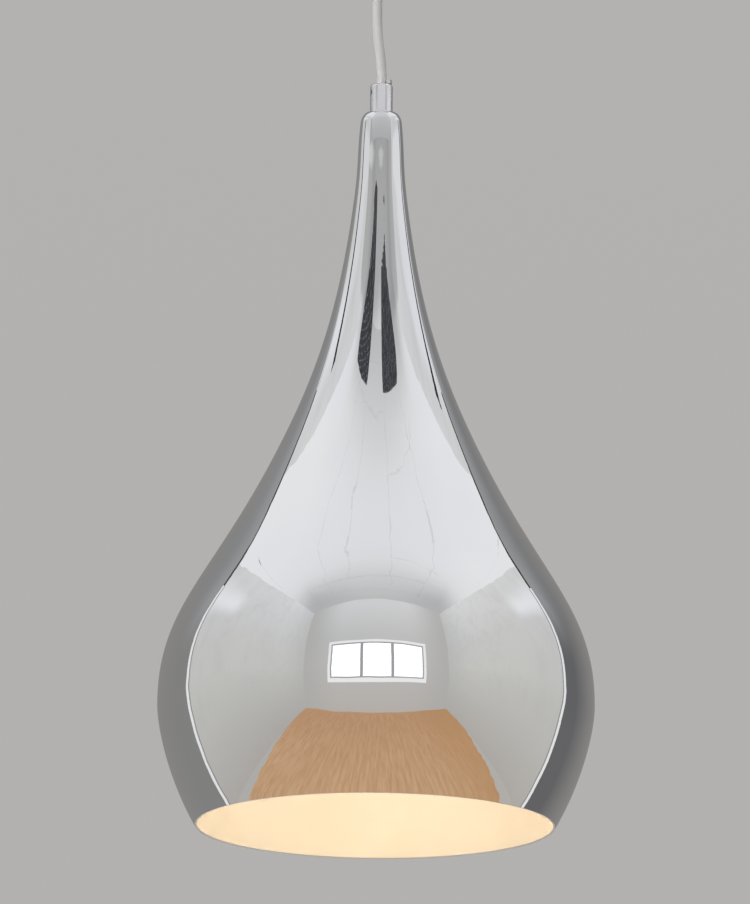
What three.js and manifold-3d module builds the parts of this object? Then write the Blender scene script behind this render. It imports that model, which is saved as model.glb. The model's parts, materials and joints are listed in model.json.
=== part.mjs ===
// A teardrop pendant lamp: ceiling bracket and canopy, clear flex, cord grip, spun chromed shade, and an E27
// lampholder with its bulb. Millimetres, +Z up. The origin is the middle of the face that the bracket puts
// against the ceiling, and everything hangs below it.
import * as THREE from "three";
import { mergeVertices } from "three/addons/utils/BufferGeometryUtils.js";
import Module from "manifold-3d";

const wasm = await Module();
wasm.setup();

// Driving dimensions
const CLEAR = 0.3;
const ROUND_SIDES = 40;
const SMALL_SIDES = 20;

const STRAP = { length: 86, width: 20, thick: 1.5, ear: 11, earHole: 2.15, earHoleZ: -6.5 };
const STRAP_SLOT = { length: 14, width: 4.6, x: 29 };
const STRAP_TAB = { width: 24, reach: 32 };
const EARTH = { x: -15, hole: 2.1, lug: 3.9, lugZ: -2.6, lugThick: 0.8, head: -4.95 };
const TERMINAL = { width: 20, depth: 15, height: 11, y: 21.5, z: -7.3, pitch: 5, bore: 1.5, boreZ: -7 };
const TERMINAL_WELL = { radius: 2, top: -8.6, head: -11.8, tip: -9 };
const TERMINAL_FIXING = { hole: 1.8, head: -14.7, tip: -0.3 };
const CANOPY = { radius: 50, height: 27, wall: 1, corner: 6 };
const SIDE_SCREW = { shank: 1.8, head: 3.7, top: 3.1, thick: 2.2, proud: 3, tip: 40 };
const GRIP = { radius: 6.25, edge: 1.5, boreInsert: 4.4, screwHole: 1.7, sides: 24 };
const CEILING_GRIP = { top: -17, seat: -27.3, ledge: -31, end: -41.5, spigot: 4.8, screwZ: -36 };
const CEILING_INSERT_END = -43.5;
const INSERT_TAB = { height: 2.8, halfTurn: 34 };
const SCREW_SLOT = { width: 0.8, depth: 1.6 };

const CORD_RADIUS = 2.8;
const CORD_SIDES = 10;
const CORE_RADIUS = 0.95;
const SIDE_PIVOT_Z = -44.3;
const FORE_PIVOT_Z = -64.3;
const CORD_END_Z = -121;
// The flex hangs with a slight bow to the left, so its route is chosen by hand: x and z from top to bottom.
const CORD_HEAD_ROUTE = [
  [0, SIDE_PIVOT_Z],
  [-0.25, -49.5],
  [-0.9, -54.5],
  [-1.6, -58.5],
  [-1.95, -61.2],
];
const CORD_ROUTE = [
  [-2.25, FORE_PIVOT_Z],
  [-2.65, -68.5],
  [-2.8, -73],
  [-2.8, -79],
  [-2.7, -85],
  [-2.4, -91],
  [-1.9, -96.5],
  [-1.2, -102],
  [-0.6, -107],
  [-0.2, -112],
  [0, -117],
  [0, CORD_END_Z],
];

const SHADE_TOP_Z = -136;
const SHADE_WALL = 1.2;
const TUBE = { outer: 5, bore: 3.6, hole: 5.3, top: 7.7, bottom: 118 };
const LAMP_GRIP = { top: 16, seat: CLEAR, insertFloor: 8, screwDepth: -11.3, screwTurn: 20 };
const HOLDER = { top: 111, joint: 136, end: 170, radius: 19, wall: 1.7, sides: 28 };
const CONTACT_BLOCK = { radius: 16.4, top: 125.4, edge: 1.6, wellRadius: 1.4, wellX: 7, wellFloor: 131 };
const SCREW_SHELL = { inner: 13.6, outer: 14.1, end: 163 };
const BULB = { tip: 139.8, capTop: 144, capRadius: 12.9, neck: 168, radius: 30, bottom: 248, glass: 1 };

const below = (depth) => SHADE_TOP_Z - depth;

// Materials
function finish(color, roughness, metalness) {
  return () => new THREE.MeshStandardMaterial({ color, roughness, metalness });
}
const mirrorChrome = finish(0xd9dbde, 0.04, 1);
const satinNickel = finish(0xc9c9cc, 0.28, 1);
const zincSteel = finish(0xb3b5b6, 0.42, 1);
const brass = finish(0xc9a24a, 0.3, 1);
const whitePlastic = finish(0xe9e7e2, 0.5, 0);
const nylon = finish(0xb9b8b6, 0.45, 0);
const clearPvc = finish(0xd2d1cd, 0.3, 0);
const ceramic = finish(0xf1efe8, 0.35, 0);
const opalGlass = finish(0xffe9c6, 0.3, 0);
const blackGlass = finish(0x17171a, 0.2, 0);
const solder = finish(0x9a9da1, 0.35, 1);
const clearGlass = finish(0xdfe6e4, 0.05, 0);
const brownCore = finish(0x6b4630, 0.5, 0);
const blueCore = finish(0x2f5f9e, 0.5, 0);
const earthCore = finish(0x6f9c3a, 0.5, 0);
const tungsten = finish(0x8a8070, 0.5, 1);

// Solids. A profile lists [radius, z] anticlockwise: outwards at the bottom, up the outside, back at the top.
function lathe(profile, sides = SMALL_SIDES) {
  const points = profile.map(([r, z]) => new THREE.Vector2(r, z));
  return new THREE.LatheGeometry(points, sides).rotateX(Math.PI / 2);
}

function closed(profile) {
  return [...profile, profile[0]];
}

function ring(inner, outer, low, high, sides = SMALL_SIDES) {
  return lathe(closed([[inner, low], [outer, low], [outer, high], [inner, high]]), sides);
}

function rod(radius, low, high, sides = SMALL_SIDES) {
  return lathe([[0, low], [radius, low], [radius, high], [0, high]], sides);
}

function block(width, depth, height, x, y, z) {
  return new THREE.BoxGeometry(width, depth, height).translate(x, y, z);
}

function hexNut(acrossFlats, hole, low, high) {
  const shape = new THREE.Shape();
  const corner = acrossFlats / Math.sqrt(3);
  for (let i = 0; i < 6; i++) {
    const turn = (i * Math.PI) / 3;
    const point = [corner * Math.cos(turn), corner * Math.sin(turn)];
    if (i === 0) shape.moveTo(...point);
    else shape.lineTo(...point);
  }
  shape.closePath();
  shape.holes.push(new THREE.Path().absarc(0, 0, hole, 0, 2 * Math.PI, true));
  const options = { depth: high - low, bevelEnabled: false, curveSegments: 10 };
  return new THREE.ExtrudeGeometry(shape, options).translate(0, 0, low);
}

function solidOf(geometry) {
  const bare = geometry.clone();
  bare.deleteAttribute("normal");
  bare.deleteAttribute("uv");
  const merged = mergeVertices(bare, 1e-4);
  const vertProperties = new Float32Array(merged.attributes.position.array);
  const triVerts = new Uint32Array(merged.index.array);
  return new wasm.Manifold(new wasm.Mesh({ numProp: 3, vertProperties, triVerts }));
}

function geometryOf(solid) {
  const mesh = solid.getMesh();
  const positions = new Float32Array(mesh.numVert * 3);
  for (let i = 0; i < mesh.numVert; i++) {
    positions.set(mesh.vertProperties.subarray(i * mesh.numProp, i * mesh.numProp + 3), i * 3);
  }
  const geometry = new THREE.BufferGeometry();
  geometry.setAttribute("position", new THREE.BufferAttribute(positions, 3));
  geometry.setIndex(new THREE.BufferAttribute(new Uint32Array(mesh.triVerts), 1));
  const flat = geometry.toNonIndexed();
  flat.computeVertexNormals();
  return flat;
}

function join(...geometries) {
  return geometryOf(geometries.map(solidOf).reduce((sum, next) => sum.add(next)));
}

function cut(body, ...tools) {
  return geometryOf(tools.map(solidOf).reduce((rest, tool) => rest.subtract(tool), solidOf(body)));
}

// A rod along X, Y or Z between two places on that axis, used for screws and for drilling.
function rodAlong(axis, radius, from, to, x, y, z, sides = SMALL_SIDES) {
  const made = rod(radius, from, to, sides);
  if (axis === "x") made.rotateY(Math.PI / 2);
  if (axis === "y") made.rotateX(-Math.PI / 2);
  return made.translate(x, y, z);
}

function tube(route, radius, sides) {
  const section = new THREE.Shape();
  for (let i = 0; i < sides; i++) {
    const turn = (2 * Math.PI * i) / sides;
    const point = [radius * Math.cos(turn), radius * Math.sin(turn)];
    if (i === 0) section.moveTo(...point);
    else section.lineTo(...point);
  }
  section.closePath();
  const path = new THREE.CatmullRomCurve3(route.map((p) => new THREE.Vector3(...p)));
  const options = { steps: route.length - 1, extrudePath: path, bevelEnabled: false };
  return new THREE.ExtrudeGeometry(section, options);
}

// Ceiling fixing
function ceilingBracket() {
  const half = STRAP.length / 2;
  const middle = -STRAP.thick / 2;
  const earZ = -STRAP.ear / 2;
  const strap = block(STRAP.length, STRAP.width, STRAP.thick, 0, 0, middle);
  const tabMiddle = STRAP_TAB.reach / 2;
  const tab = block(STRAP_TAB.width, STRAP_TAB.reach, STRAP.thick, 0, tabMiddle, middle);
  const ears = [-1, 1].map((side) => {
    return block(STRAP.thick, STRAP.width, STRAP.ear, side * (half - STRAP.thick / 2), 0, earZ);
  });
  const slots = [-1, 1].map((side) => {
    return block(STRAP_SLOT.length, STRAP_SLOT.width, 4 * STRAP.thick, side * STRAP_SLOT.x, 0, middle);
  });
  const earHoles = rodAlong("x", STRAP.earHole, -STRAP.length, STRAP.length, 0, 0, STRAP.earHoleZ);
  const terminalHole = rod(TERMINAL_FIXING.hole, -STRAP.width, STRAP.width).translate(0, TERMINAL.y, 0);
  const earthHole = rod(EARTH.hole, -STRAP.width, STRAP.width).translate(EARTH.x, 0, 0);
  return cut(join(strap, tab, ...ears), ...slots, earHoles, terminalHole, earthHole);
}

function canopyCover() {
  const outer = new THREE.Path();
  const floor = -CANOPY.height;
  outer.moveTo(CANOPY.radius - CANOPY.corner, floor);
  outer.absarc(CANOPY.radius - CANOPY.corner, floor + CANOPY.corner, CANOPY.corner, -Math.PI / 2, 0, false);
  const bend = outer.getPoints(2).map((p) => [p.x, p.y]);
  const innerCorner = CANOPY.corner - CANOPY.wall;
  const inner = new THREE.Path();
  inner.absarc(CANOPY.radius - CANOPY.corner, floor + CANOPY.corner, innerCorner, 0, -Math.PI / 2, true);
  const innerBend = inner.getPoints(2).map((p) => [p.x, p.y]);
  const profile = [
    [TUBE.hole, floor],
    ...bend,
    [CANOPY.radius, 0],
    [CANOPY.radius - CANOPY.wall, 0],
    ...innerBend,
    [TUBE.hole, floor + CANOPY.wall],
  ];
  const reach = 2 * CANOPY.radius;
  const sideHoles = rodAlong("x", STRAP.earHole, -reach, reach, 0, 0, STRAP.earHoleZ);
  return cut(lathe(closed(profile), ROUND_SIDES), sideHoles);
}

function canopyScrew(side) {
  const { shank, head, top, thick, proud, tip } = SIDE_SCREW;
  const seat = CANOPY.radius + CLEAR;
  const screw = lathe([
    [0, tip],
    [shank, tip],
    [shank, seat],
    [head, seat],
    [head, seat + thick],
    [top, seat + proud],
    [0, seat + proud],
  ]);
  return screw.rotateY((side * Math.PI) / 2).translate(0, 0, STRAP.earHoleZ);
}

// Cord grips. The ceiling one stands upside down, with a threaded spigot through the canopy.
function roundedEdge(radius, edge, z, up) {
  const bend = new THREE.Path();
  if (up) bend.absarc(radius - edge, z - edge, edge, 0, Math.PI / 2, false);
  else bend.absarc(radius - edge, z + edge, edge, -Math.PI / 2, 0, false);
  return bend.getPoints(2).map((p) => [p.x, p.y]);
}

function ceilingGrip() {
  const { top, seat, ledge, end, spigot, screwZ } = CEILING_GRIP;
  const passage = CORD_RADIUS + 0.4;
  const body = lathe(
    closed([
      [GRIP.boreInsert, end],
      ...roundedEdge(GRIP.radius, GRIP.edge, end, false),
      [GRIP.radius, seat],
      [spigot, seat],
      [spigot, top],
      [passage, top],
      [passage, ledge],
      [GRIP.boreInsert, ledge],
    ]),
    GRIP.sides,
  );
  return cut(body, rodAlong("x", GRIP.screwHole, -2 * GRIP.radius, 0, 0, 0, screwZ));
}

function lampGrip() {
  const top = below(-LAMP_GRIP.top);
  const seat = below(-LAMP_GRIP.seat);
  const floor = below(-LAMP_GRIP.insertFloor);
  const body = lathe(
    closed([
      [TUBE.hole, seat],
      [GRIP.radius, seat],
      ...roundedEdge(GRIP.radius, GRIP.edge, top, true),
      [GRIP.boreInsert, top],
      [GRIP.boreInsert, floor],
      [TUBE.hole, floor],
    ]),
    GRIP.sides,
  );
  const drill = rodAlong("x", GRIP.screwHole, -2 * GRIP.radius, 0, 0, 0, below(LAMP_GRIP.screwDepth));
  return cut(body, drill.rotateZ(THREE.MathUtils.degToRad(LAMP_GRIP.screwTurn)));
}

function sector(inner, outer, halfTurn, low, high) {
  const spread = THREE.MathUtils.degToRad(halfTurn);
  const shape = new THREE.Shape();
  shape.absarc(0, 0, outer, -spread, spread, false);
  shape.absarc(0, 0, inner, spread, -spread, true);
  const options = { depth: high - low, bevelEnabled: false, curveSegments: 6 };
  return new THREE.ExtrudeGeometry(shape, options).translate(0, 0, low);
}

// The nylon sleeve that the grub screw presses on the flex. The lamp's has a small tab beside the flex.
function gripInsert(low, high, tabHeight) {
  const inner = CORD_RADIUS + CLEAR;
  const outer = GRIP.boreInsert - CLEAR;
  const sleeve = ring(inner, outer, low, high, GRIP.sides);
  if (!tabHeight) return sleeve;
  const { halfTurn } = INSERT_TAB;
  const stalk = sector(inner + 0.15, outer - 0.05, halfTurn, high - 1, high + tabHeight);
  const tab = sector(inner + 0.4, GRIP.radius - 0.5, halfTurn, high + CLEAR, high + tabHeight);
  return join(sleeve, stalk, tab);
}

function grubScrew() {
  const thread = GRIP.screwHole - CLEAR;
  const outside = -GRIP.radius + 0.35;
  const inside = -GRIP.boreInsert - 0.05;
  const screw = rodAlong("x", thread, outside, inside, 0, 0, 0, 16);
  const socket = rodAlong("x", 0.75, outside - 1, outside + 1, 0, 0, 0, 6);
  return cut(screw, socket);
}

// Wiring at the ceiling
function terminalBlock() {
  const { width, depth, height, y, z, pitch, bore, boreZ } = TERMINAL;
  const body = block(width, depth, height, 0, y, z);
  const places = [-pitch, pitch];
  const bores = places.map((x) => rodAlong("y", bore, y - depth, y + depth, x, 0, boreZ));
  const well = rod(TERMINAL_WELL.radius, z - height, TERMINAL_WELL.top);
  const wells = places.map((x) => well.clone().translate(x, y, 0));
  const fixingHole = rod(TERMINAL_FIXING.hole, z - height, 0).translate(0, y, 0);
  return cut(body, ...bores, ...wells, fixingHole);
}

function panScrew(shankRadius, headRadius, headThick, low, high) {
  return lathe([
    [0, low],
    [headRadius * 0.8, low],
    [headRadius, low + 0.5],
    [headRadius, low + headThick],
    [shankRadius, low + headThick],
    [shankRadius, high],
    [0, high],
  ], 16);
}

function slottedScrew(shankRadius, headRadius, headThick, low, high) {
  const screw = panScrew(shankRadius, headRadius, headThick, low, high);
  return cut(screw, block(headRadius * 3, SCREW_SLOT.width, SCREW_SLOT.depth, 0, 0, low));
}

// The crimped eyelet lies flat on the strap, and its barrel holds the earth core.
function earthEyelet() {
  const { hole, lug, lugZ, lugThick } = EARTH;
  const disc = ring(hole, lug, lugZ, lugZ + lugThick);
  const tongue = block(2.4, 2.4, lugThick, lug + 0.5, 0, lugZ + lugThick / 2);
  const barrel = rodAlong("x", 1.5, lug + 0.4, 9.5, 0, 0, lugZ - lugThick, 12);
  const bore = rodAlong("x", 1.25, 5, 10, 0, 0, lugZ - lugThick, 12);
  return cut(join(disc, tongue, barrel), bore);
}

// Shade: the outline runs from the shoulder under the cord grip, down the neck, to the belly and the mouth.
function shadeOutline() {
  const outline = new THREE.Path();
  outline.moveTo(6.8, 0);
  outline.bezierCurveTo(9.4, 0, 11.3, 2.9, 11.5, 6.5);
  outline.bezierCurveTo(13.2, 23.5, 12.2, 30, 14.8, 50.5);
  outline.bezierCurveTo(23.1, 117, 36.5, 153.5, 57.8, 196.5);
  outline.bezierCurveTo(93.4, 268, 120, 283, 120, 334.5);
  outline.bezierCurveTo(120, 348, 113.3, 376.5, 98.5, 402);
  return outline;
}

function shadeShell() {
  const outside = [];
  const inside = [];
  const stepsOfCurve = [3, 4, 5, 6, 4];
  shadeOutline().curves.forEach((curve, i, all) => {
    const steps = stepsOfCurve[i];
    const last = i === all.length - 1 ? steps : steps - 1;
    for (let k = 0; k <= last; k++) {
      const point = curve.getPoint(k / steps);
      const along = curve.getTangent(k / steps);
      outside.push([point.x, below(point.y)]);
      inside.push([point.x - along.y * SHADE_WALL, below(point.y + along.x * SHADE_WALL)]);
    }
  });
  const topInside = below(SHADE_WALL);
  const profile = [
    ...outside.reverse(),
    [TUBE.hole, below(0)],
    [TUBE.hole, topInside],
    ...inside,
  ];
  return lathe(closed(profile), ROUND_SIDES);
}

// Lampholder
function holderCap() {
  const { top, joint, radius, wall } = HOLDER;
  return lathe(closed([
    [radius - wall, below(joint)],
    [radius, below(joint)],
    [radius, below(top + 13)],
    [radius - 1.6, below(top + 7)],
    [radius - 5.5, below(top + 2.6)],
    [9, below(top)],
    [TUBE.hole, below(top)],
    [TUBE.hole, below(top + wall)],
    [9, below(top + wall)],
    [radius - 6.4, below(top + 4)],
    [radius - 3, below(top + 7.8)],
    [radius - wall, below(top + 13)],
  ]), HOLDER.sides);
}

function holderBody() {
  const { joint, end, radius, wall } = HOLDER;
  const top = joint + CLEAR;
  return lathe(closed([
    [radius - wall - 0.6, below(end)],
    [radius - 0.7, below(end)],
    [radius - 0.7, below(top + 14)],
    [radius + 2.4, below(top + 14)],
    [radius + 2.4, below(top + 12)],
    [radius, below(top + 10.5)],
    [radius, below(top)],
    [radius - wall, below(top)],
    [radius - wall - 0.6, below(top + 6)],
  ]), HOLDER.sides);
}

function holderRing() {
  const inner = HOLDER.radius - 0.7 + CLEAR;
  const top = HOLDER.joint + 14 + 2 * CLEAR;
  return lathe(closed([
    [inner, below(top + 7)],
    [inner + 2, below(top + 7)],
    [inner + 2, below(top + 2)],
    [inner + 5, below(top + 2)],
    [inner + 5, below(top)],
    [inner, below(top)],
  ]), HOLDER.sides);
}

function contactBlock() {
  const { radius, top, edge, wellRadius, wellX, wellFloor } = CONTACT_BLOCK;
  const disc = lathe([
    [0, below(HOLDER.joint)],
    [radius, below(HOLDER.joint)],
    [radius, below(top + edge)],
    [radius - edge, below(top)],
    [0, below(top)],
  ], HOLDER.sides);
  const well = rod(wellRadius, below(wellFloor), below(HOLDER.top));
  const wells = [-wellX, wellX].map((x) => well.clone().translate(x, 0, 0));
  return cut(disc, ...wells);
}

function centreContact() {
  const outline = new THREE.Shape();
  outline.moveTo(-5, -0.6);
  outline.lineTo(0, -3);
  outline.lineTo(5, -3);
  outline.lineTo(5, -2.5);
  outline.lineTo(0.2, -2.5);
  outline.lineTo(-4.8, 0);
  outline.lineTo(-8, 0);
  outline.lineTo(-8, -0.6);
  outline.closePath();
  const strip = new THREE.ExtrudeGeometry(outline, { depth: 4, bevelEnabled: false });
  return strip.rotateX(Math.PI / 2).translate(0, 2, below(HOLDER.joint + CLEAR));
}

function sideContact() {
  const top = below(HOLDER.joint + CLEAR);
  return join(block(3.2, 4, 0.6, 11, 0, top - 0.3), block(0.5, 4, 5, 12.35, 0, top - 2.5));
}

// Bulb
function bulbGlobe() {
  const centre = BULB.bottom - BULB.radius;
  const outer = new THREE.Path();
  outer.moveTo(0, BULB.bottom);
  outer.absarc(0, centre, BULB.radius, Math.PI / 2, -0.42, true);
  outer.quadraticCurveTo(17.5, 192, 13.6, 178);
  outer.lineTo(13.2, BULB.neck + CLEAR);
  const outside = outer.getPoints(5).map((p) => [p.x, below(p.y)]);
  const shrink = (BULB.radius - BULB.glass) / BULB.radius;
  const inside = outside.map(([r, z]) => [r * shrink, below(centre) + (z - below(centre)) * shrink]);
  const open = inside.slice(0, -1);
  open.push([outside[outside.length - 1][0] - BULB.glass, below(BULB.neck + CLEAR)]);
  return lathe([...outside, ...open.reverse()], 24);
}

function bulbCap() {
  const { capTop, capRadius, neck } = BULB;
  return lathe(closed([
    [capRadius - 0.5, below(neck)],
    [capRadius, below(neck)],
    [capRadius, below(capTop + 2.5)],
    [9.6, below(capTop)],
    [6.2, below(capTop)],
    [6.2, below(capTop + 0.5)],
    [9.3, below(capTop + 0.5)],
    [capRadius - 0.5, below(capTop + 2.9)],
  ]), HOLDER.sides);
}

function bulbInsulator() {
  const { tip, capTop } = BULB;
  return lathe(closed([
    [2, below(capTop - CLEAR)],
    [9, below(capTop - CLEAR)],
    [6.2, below(tip + 1.6)],
    [2, below(tip + 1.6)],
  ]), 24);
}

function bulbTip() {
  const { tip } = BULB;
  return lathe([
    [0, below(tip + 1.3)],
    [4.4, below(tip + 1.3)],
    [3.8, below(tip + 0.4)],
    [2.2, below(tip)],
    [0, below(tip)],
  ], 24);
}

function bulbStem() {
  return lathe([
    [0, below(206)],
    [1.6, below(205)],
    [2, below(190)],
    [5, below(180)],
    [9, below(173)],
    [9, below(171.5)],
    [0, below(171.5)],
  ], 16);
}

function bulbFilament() {
  const route = [
    [-14, 0, below(214)],
    [-9, 5, below(211)],
    [0, 8, below(209)],
    [9, 5, below(211)],
    [14, 0, below(214)],
  ];
  return tube(route, 0.6, 6);
}

// Free flex, with ball ends where it bends, so that neighbouring lengths stay clear of each other
function cordLength(route) {
  const [x, z] = route[0];
  const ball = new THREE.SphereGeometry(CORD_RADIUS, CORD_SIDES, 8).rotateX(Math.PI / 2).translate(x, 0, z);
  return join(tube(route.map(([px, pz]) => [px, 0, pz]), CORD_RADIUS, CORD_SIDES), ball);
}

const lamp = new THREE.Group();

function add(name, geometry, material, x = 0, y = 0, z = 0) {
  const mesh = new THREE.Mesh(geometry, material());
  mesh.name = name;
  mesh.position.set(x, y, z);
  lamp.add(mesh);
  return mesh;
}

add("ceiling_bracket", ceilingBracket(), zincSteel);
add("canopy_cover", canopyCover(), mirrorChrome);
add("canopy_screw_left", canopyScrew(-1), satinNickel);
add("canopy_screw_right", canopyScrew(1), satinNickel);
add("terminal_block", terminalBlock(), whitePlastic);
for (const [name, side] of [["terminal_screw_live", -1], ["terminal_screw_neutral", 1]]) {
  const screw = slottedScrew(1.2, 1.6, 1.2, TERMINAL_WELL.head, TERMINAL_WELL.tip);
  add(name, screw, brass, side * TERMINAL.pitch, TERMINAL.y);
}
const fixingScrew = slottedScrew(1.4, 2.7, 1.6, TERMINAL_FIXING.head, TERMINAL_FIXING.tip);
add("terminal_fixing_screw", fixingScrew, zincSteel, 0, TERMINAL.y);
add("earth_eyelet", earthEyelet(), brass, EARTH.x);
add("earth_screw", slottedScrew(1.8, 3.6, 2, EARTH.head, -CLEAR), brass, EARTH.x);
add("ceiling_cord_grip", ceilingGrip(), satinNickel);
add("ceiling_grip_nut", hexNut(14, TUBE.hole, -25.7, -22.7), zincSteel);
add("ceiling_grip_insert", gripInsert(CEILING_INSERT_END, CEILING_GRIP.ledge - CLEAR, 0), nylon);
add("ceiling_grip_screw", grubScrew(), zincSteel, 0, 0, CEILING_GRIP.screwZ);

add("flex_ceiling_end", rod(CORD_RADIUS, SIDE_PIVOT_Z + CORD_RADIUS + CLEAR, -14.5, 16), clearPvc);
const liveRoute = [[1.2, 0.9, -13.9], [2.2, 3, -11], [4, 7, -8.2], [5, 11, -7.1], [5, 18, -7]];
const earthRoute = [
  [0, -1.4, -13.9],
  [-0.6, -2.2, -10.5],
  [-2, -1.6, -6.4],
  [-4, -0.2, -3.8],
  [-5.6, 0, -3.4],
  [-7.5, 0, -3.4],
  [-9.4, 0, -3.4],
];
const ceilingCores = {
  ceiling_core_live: [brownCore, liveRoute.map(([x, y, z]) => [-x, y, z])],
  ceiling_core_neutral: [blueCore, liveRoute],
  ceiling_core_earth: [earthCore, earthRoute],
};
for (const [name, [material, route]] of Object.entries(ceilingCores)) {
  add(name, tube(route, CORE_RADIUS, 8), material);
}

add("cord_head", cordLength(CORD_HEAD_ROUTE), clearPvc);
add("cord", cordLength(CORD_ROUTE), clearPvc);

add("cord_grip", lampGrip(), satinNickel);
const insertFloor = below(-LAMP_GRIP.insertFloor - CLEAR);
add("grip_insert", gripInsert(insertFloor, below(-LAMP_GRIP.top), INSERT_TAB.height), nylon);
const gripScrew = add("grip_screw", grubScrew(), zincSteel, 0, 0, below(LAMP_GRIP.screwDepth));
gripScrew.rotation.z = THREE.MathUtils.degToRad(LAMP_GRIP.screwTurn);
add("flex_lamp_end", rod(CORD_RADIUS, below(TUBE.bottom), CORD_END_Z - CLEAR, 16), clearPvc);
add("shade", shadeShell(), mirrorChrome);
add("neck_washer", ring(TUBE.hole, 7.6, below(3), below(1.9)), zincSteel);
add("neck_nut", hexNut(13, TUBE.hole, below(7.3), below(3.3)), zincSteel);
add("threaded_tube", ring(TUBE.bore, TUBE.outer, below(TUBE.bottom), below(-TUBE.top), 24), zincSteel);
add("holder_locknut", hexNut(14, TUBE.hole, below(HOLDER.top - CLEAR), below(HOLDER.top - 3.3)), zincSteel);
add("holder_cap", holderCap(), whitePlastic);
add("holder_body", holderBody(), whitePlastic);
add("holder_ring", holderRing(), whitePlastic);
add("contact_block", contactBlock(), ceramic);
const holderCoreRoute = [[1.3, 118.4], [1.7, 120], [4.2, 121.9], [6.7, 124], [7, 126.5], [7, 129]];
const holderCores = { holder_core_live: [brownCore, -1], holder_core_neutral: [blueCore, 1] };
for (const [name, [material, side]] of Object.entries(holderCores)) {
  add(name, tube(holderCoreRoute.map(([x, depth]) => [side * x, 0, below(depth)]), CORE_RADIUS, 8), material);
}
add("centre_contact", centreContact(), brass);
add("side_contact", sideContact(), brass);
const shellTop = below(HOLDER.joint + CLEAR);
const shellEnd = below(SCREW_SHELL.end);
add("screw_shell", ring(SCREW_SHELL.inner, SCREW_SHELL.outer, shellEnd, shellTop, HOLDER.sides), brass);

add("bulb_tip", bulbTip(), solder);
add("bulb_insulator", bulbInsulator(), blackGlass);
add("bulb_cap", bulbCap(), zincSteel);
add("bulb_globe", bulbGlobe(), opalGlass);
add("bulb_stem", bulbStem(), clearGlass);
add("bulb_filament", bulbFilament(), tungsten);

export default lamp;
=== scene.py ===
"""A teardrop pendant lamp of chromed spun metal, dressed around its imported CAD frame.
Shapes are in millimetres in the row frame, +Z up, and become metres when a mesh is made."""

import json
import math

import bmesh
import bpy
from mathutils import Matrix, Vector


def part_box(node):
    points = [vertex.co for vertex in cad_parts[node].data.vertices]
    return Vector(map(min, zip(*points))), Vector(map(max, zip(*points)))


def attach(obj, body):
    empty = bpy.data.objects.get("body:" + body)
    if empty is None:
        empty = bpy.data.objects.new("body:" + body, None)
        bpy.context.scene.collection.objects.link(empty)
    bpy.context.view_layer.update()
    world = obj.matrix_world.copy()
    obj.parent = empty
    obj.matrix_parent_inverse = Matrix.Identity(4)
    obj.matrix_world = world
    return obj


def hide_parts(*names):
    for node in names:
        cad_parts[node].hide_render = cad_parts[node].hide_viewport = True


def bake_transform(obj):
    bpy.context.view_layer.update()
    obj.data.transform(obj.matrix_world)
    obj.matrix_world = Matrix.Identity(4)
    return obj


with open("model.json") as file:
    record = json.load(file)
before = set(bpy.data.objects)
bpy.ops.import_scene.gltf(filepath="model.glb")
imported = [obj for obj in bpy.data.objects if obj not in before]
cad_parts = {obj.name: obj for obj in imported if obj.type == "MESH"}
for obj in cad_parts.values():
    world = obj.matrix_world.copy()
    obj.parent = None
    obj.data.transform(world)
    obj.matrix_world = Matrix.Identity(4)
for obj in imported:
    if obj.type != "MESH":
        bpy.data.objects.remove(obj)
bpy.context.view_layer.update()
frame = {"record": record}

MM = 0.001
RECORD = frame["record"]
BODY_OF = {node: body for body, nodes in RECORD["behaviour"]["bodies"].items() for node in nodes}
SLOT_OF = {part["node"]: part["material_slot"] for part in RECORD["subparts"]}
SCENE = bpy.context.scene


def low(node):
    """Lowest corner of a CAD node, in millimetres."""
    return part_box(node)[0] / MM


def high(node):
    """Highest corner of a CAD node, in millimetres."""
    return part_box(node)[1] / MM


def span(node):
    """Lowest and highest height of a CAD node."""
    return low(node).z, high(node).z


# Driving dimensions
SHADE_TOP = high("shade").z
SHADE_WALL = 1.2
CHROME_WALL = 0.82
CORD_RADIUS = 2.8
SHEATH_WALL = 0.5
CORE_RADIUS = 0.98
CORE_ORBIT = 1.12
CORE_LAY = 30
METRIC_PITCH = 1.0
GRIP_RADIUS = 6.25
GRIP_BORE = 4.4
GRUB_HOLE = 1.7
HOLDER_RADIUS = 19
HOLDER_JOINT = 136
CANOPY_SCREW_Z = -6.5
TERMINAL_Z = -7
EDISON_PITCH = 3.63


def below(depth):
    """Height of a place given by its depth under the shade's top."""
    return SHADE_TOP - depth


def linked(name, data):
    """A new object in the scene."""
    made = bpy.data.objects.new(name, data)
    SCENE.collection.objects.link(made)
    return made


# ---------------------------------------------------------------- camera
def aim_camera():
    """The view from the front, a little under the lamp, through a very long lens."""
    target = Vector((-0.0018, 0, below(192.2) * MM))
    distance, tilt, roll = 7.0, math.radians(12.28), math.radians(0.52)
    data = bpy.data.cameras.new("camera")
    data.lens, data.sensor_width = 506.1, 36
    data.clip_start, data.clip_end = 0.1, 40
    camera = linked("camera", data)
    back = Vector((0, -math.cos(tilt), -math.sin(tilt)))
    look = (-back).to_track_quat("-Z", "Y").to_matrix().to_4x4()
    camera.matrix_world = Matrix.Translation(target + back * distance) @ look @ Matrix.Rotation(roll, 4, "Z")
    SCENE.camera = camera


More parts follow.
